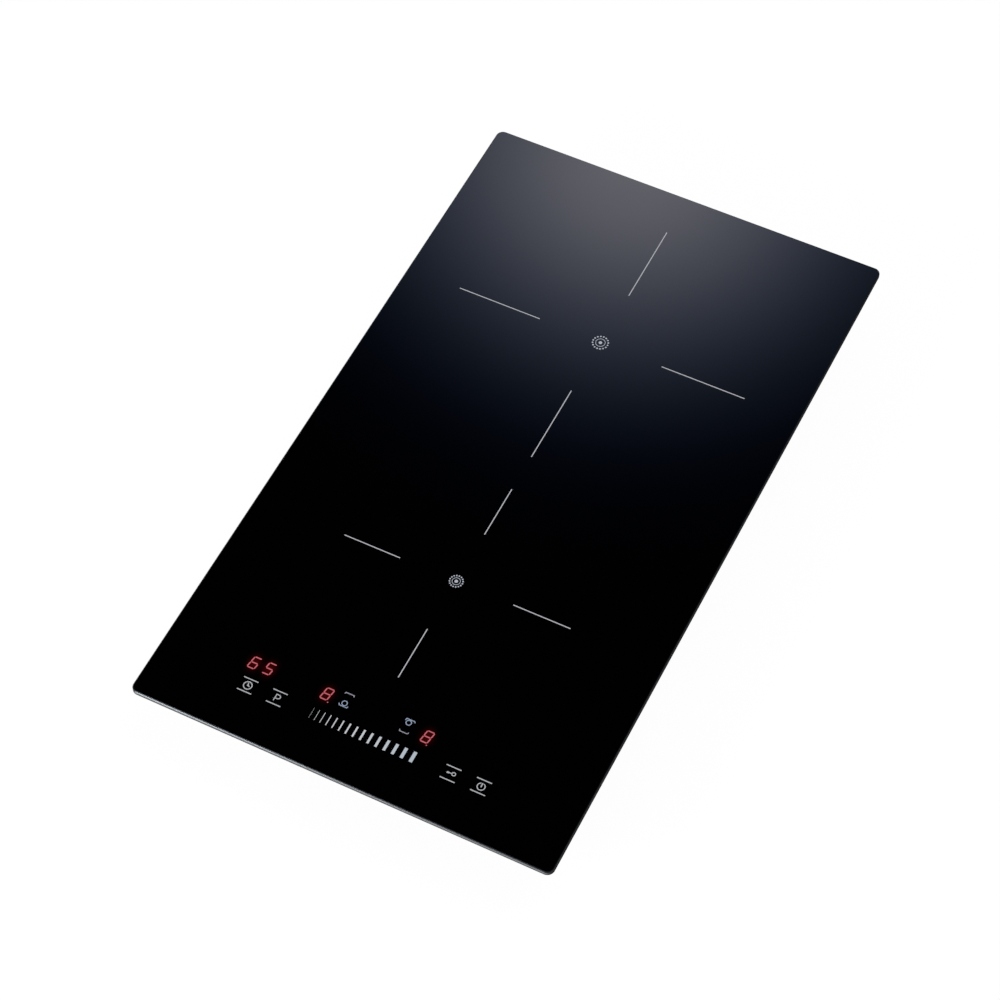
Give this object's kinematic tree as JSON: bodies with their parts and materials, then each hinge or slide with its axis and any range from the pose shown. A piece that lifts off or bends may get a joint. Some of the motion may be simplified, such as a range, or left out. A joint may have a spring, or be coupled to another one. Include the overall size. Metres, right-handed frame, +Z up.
{
  "type": "electric induction cooktop",
  "caption": "Built-in induction cooktop: black glass panel with a front and a rear zone over a steel tray with coils, fan and power board; fan, terminal cover and worktop clamps move.",
  "frame": {"origin": "middle of the base tray's underside, below the middle of the glass", "axes": "+Z up through the glass, +Y to the back, +X to the right as the cook stands in front"},
  "size_m": [0.29, 0.51, 0.056],
  "materials": {
    "black_glass": "polished black glass-ceramic",
    "seal_foam": "closed-cell foam",
    "tray_steel": "galvanised sheet",
    "carrier_aluminium": "mill finish",
    "circuit_board": "solder mask",
    "component_epoxy": "moulded epoxy",
    "component_film": "moulded box",
    "component_can": "sleeved can",
    "copper_wire": "enamelled copper litz; brass stands in for copper",
    "ferrite": "sintered, matt",
    "former_plastic": "glass-filled moulding",
    "insulation_sheet": "pressed mica sheet",
    "black_plastic": "fine textured moulding",
    "grey_plastic": "moulded",
    "display_red": "display window",
    "light_guide": "clear moulding, lightly frosted",
    "terminal_ceramic": "unglazed",
    "gland_rubber": "moulded rubber",
    "clamp_steel": "zinc-plated strip",
    "fixing_steel": "zinc-plated"
  },
  "bodies": {
    "housing": {"base_tray": "tray_steel", "rear_coil_winding": "copper_wire", "front_coil_winding": "copper_wire", "rear_coil_former": "former_plastic", "front_coil_former": "former_plastic", "coil_carrier": "carrier_aluminium", "filter_choke": "copper_wire", "control_holder": "grey_plastic", "fan_housing": "black_plastic", "worktop_seal": "seal_foam", "glass_panel": "black_glass", "cable_gland": "gland_rubber", "touch_light_guide": "light_guide", "power_board": "circuit_board", "terminal_block": "terminal_ceramic", "rear_insulation_disc": "insulation_sheet", "front_insulation_disc": "insulation_sheet", "heat_sink": "carrier_aluminium", "fan_motor": "fixing_steel", "clamp_screw_front_left": "fixing_steel", "carrier_screw_front_left": "fixing_steel", "clamp_screw_rear_left": "fixing_steel", "carrier_screw_rear_left": "fixing_steel", "clamp_screw_front_right": "fixing_steel", "carrier_screw_front_right": "fixing_steel", "clamp_screw_rear_right": "fixing_steel", "carrier_screw_rear_right": "fixing_steel", "rear_temperature_sensor": "terminal_ceramic", "front_temperature_sensor": "terminal_ceramic", "smoothing_capacitor": "component_can", "rear_zone_transistor": "component_epoxy", "front_zone_transistor": "component_epoxy", "bridge_rectifier": "component_epoxy", "standby_transformer": "component_film", "rear_zone_capacitor": "component_film", "front_zone_capacitor": "component_film", "control_board": "circuit_board", "timer_display": "display_red", "cover_hinge_pin": "fixing_steel", "front_zone_display": "display_red", "rear_zone_display": "display_red", "terminal_box": "grey_plastic", "rear_ferrite_1": "ferrite", "rear_ferrite_2": "ferrite", "rear_ferrite_3": "ferrite", "rear_ferrite_4": "ferrite", "rear_ferrite_5": "ferrite", "rear_ferrite_6": "ferrite", "front_ferrite_1": "ferrite", "front_ferrite_2": "ferrite", "front_ferrite_3": "ferrite", "front_ferrite_4": "ferrite"},
    "impeller": {"fan_impeller": "grey_plastic"},
    "terminal_cover": {"terminal_cover": "black_plastic"},
    "clamp_front_left": {"worktop_clamp_front_left": "clamp_steel"},
    "clamp_front_right": {"worktop_clamp_front_right": "clamp_steel"},
    "clamp_rear_left": {"worktop_clamp_rear_left": "clamp_steel"},
    "clamp_rear_right": {"worktop_clamp_rear_right": "clamp_steel"}
  },
  "joints": [
    {"name": "fan_spin", "type": "hinge", "parent": "housing", "child": "impeller", "pos_m": [-0.0505, 0.1855, 0.01], "axis": [0, 0, 1], "continuous": true},
    {"name": "terminal_cover_swing", "type": "hinge", "parent": "housing", "child": "terminal_cover", "pos_m": [0.067, 0.2419, 0.0033], "axis": [-1, 0, 0], "range_deg": [0, 90]},
    {"name": "clamp_front_left_swing", "type": "hinge", "parent": "housing", "child": "clamp_front_left", "pos_m": [-0.118, -0.191, 0.02], "axis": [0, 0, 1], "range_deg": [0, 90]},
    {"name": "clamp_front_right_swing", "type": "hinge", "parent": "housing", "child": "clamp_front_right", "pos_m": [0.118, -0.191, 0.02], "axis": [0, 0, -1], "range_deg": [0, 90]},
    {"name": "clamp_rear_left_swing", "type": "hinge", "parent": "housing", "child": "clamp_rear_left", "pos_m": [-0.118, 0.191, 0.02], "axis": [0, 0, -1], "range_deg": [0, 90]},
    {"name": "clamp_rear_right_swing", "type": "hinge", "parent": "housing", "child": "clamp_rear_right", "pos_m": [0.118, 0.191, 0.02], "axis": [0, 0, 1], "range_deg": [0, 90]}
  ]
}
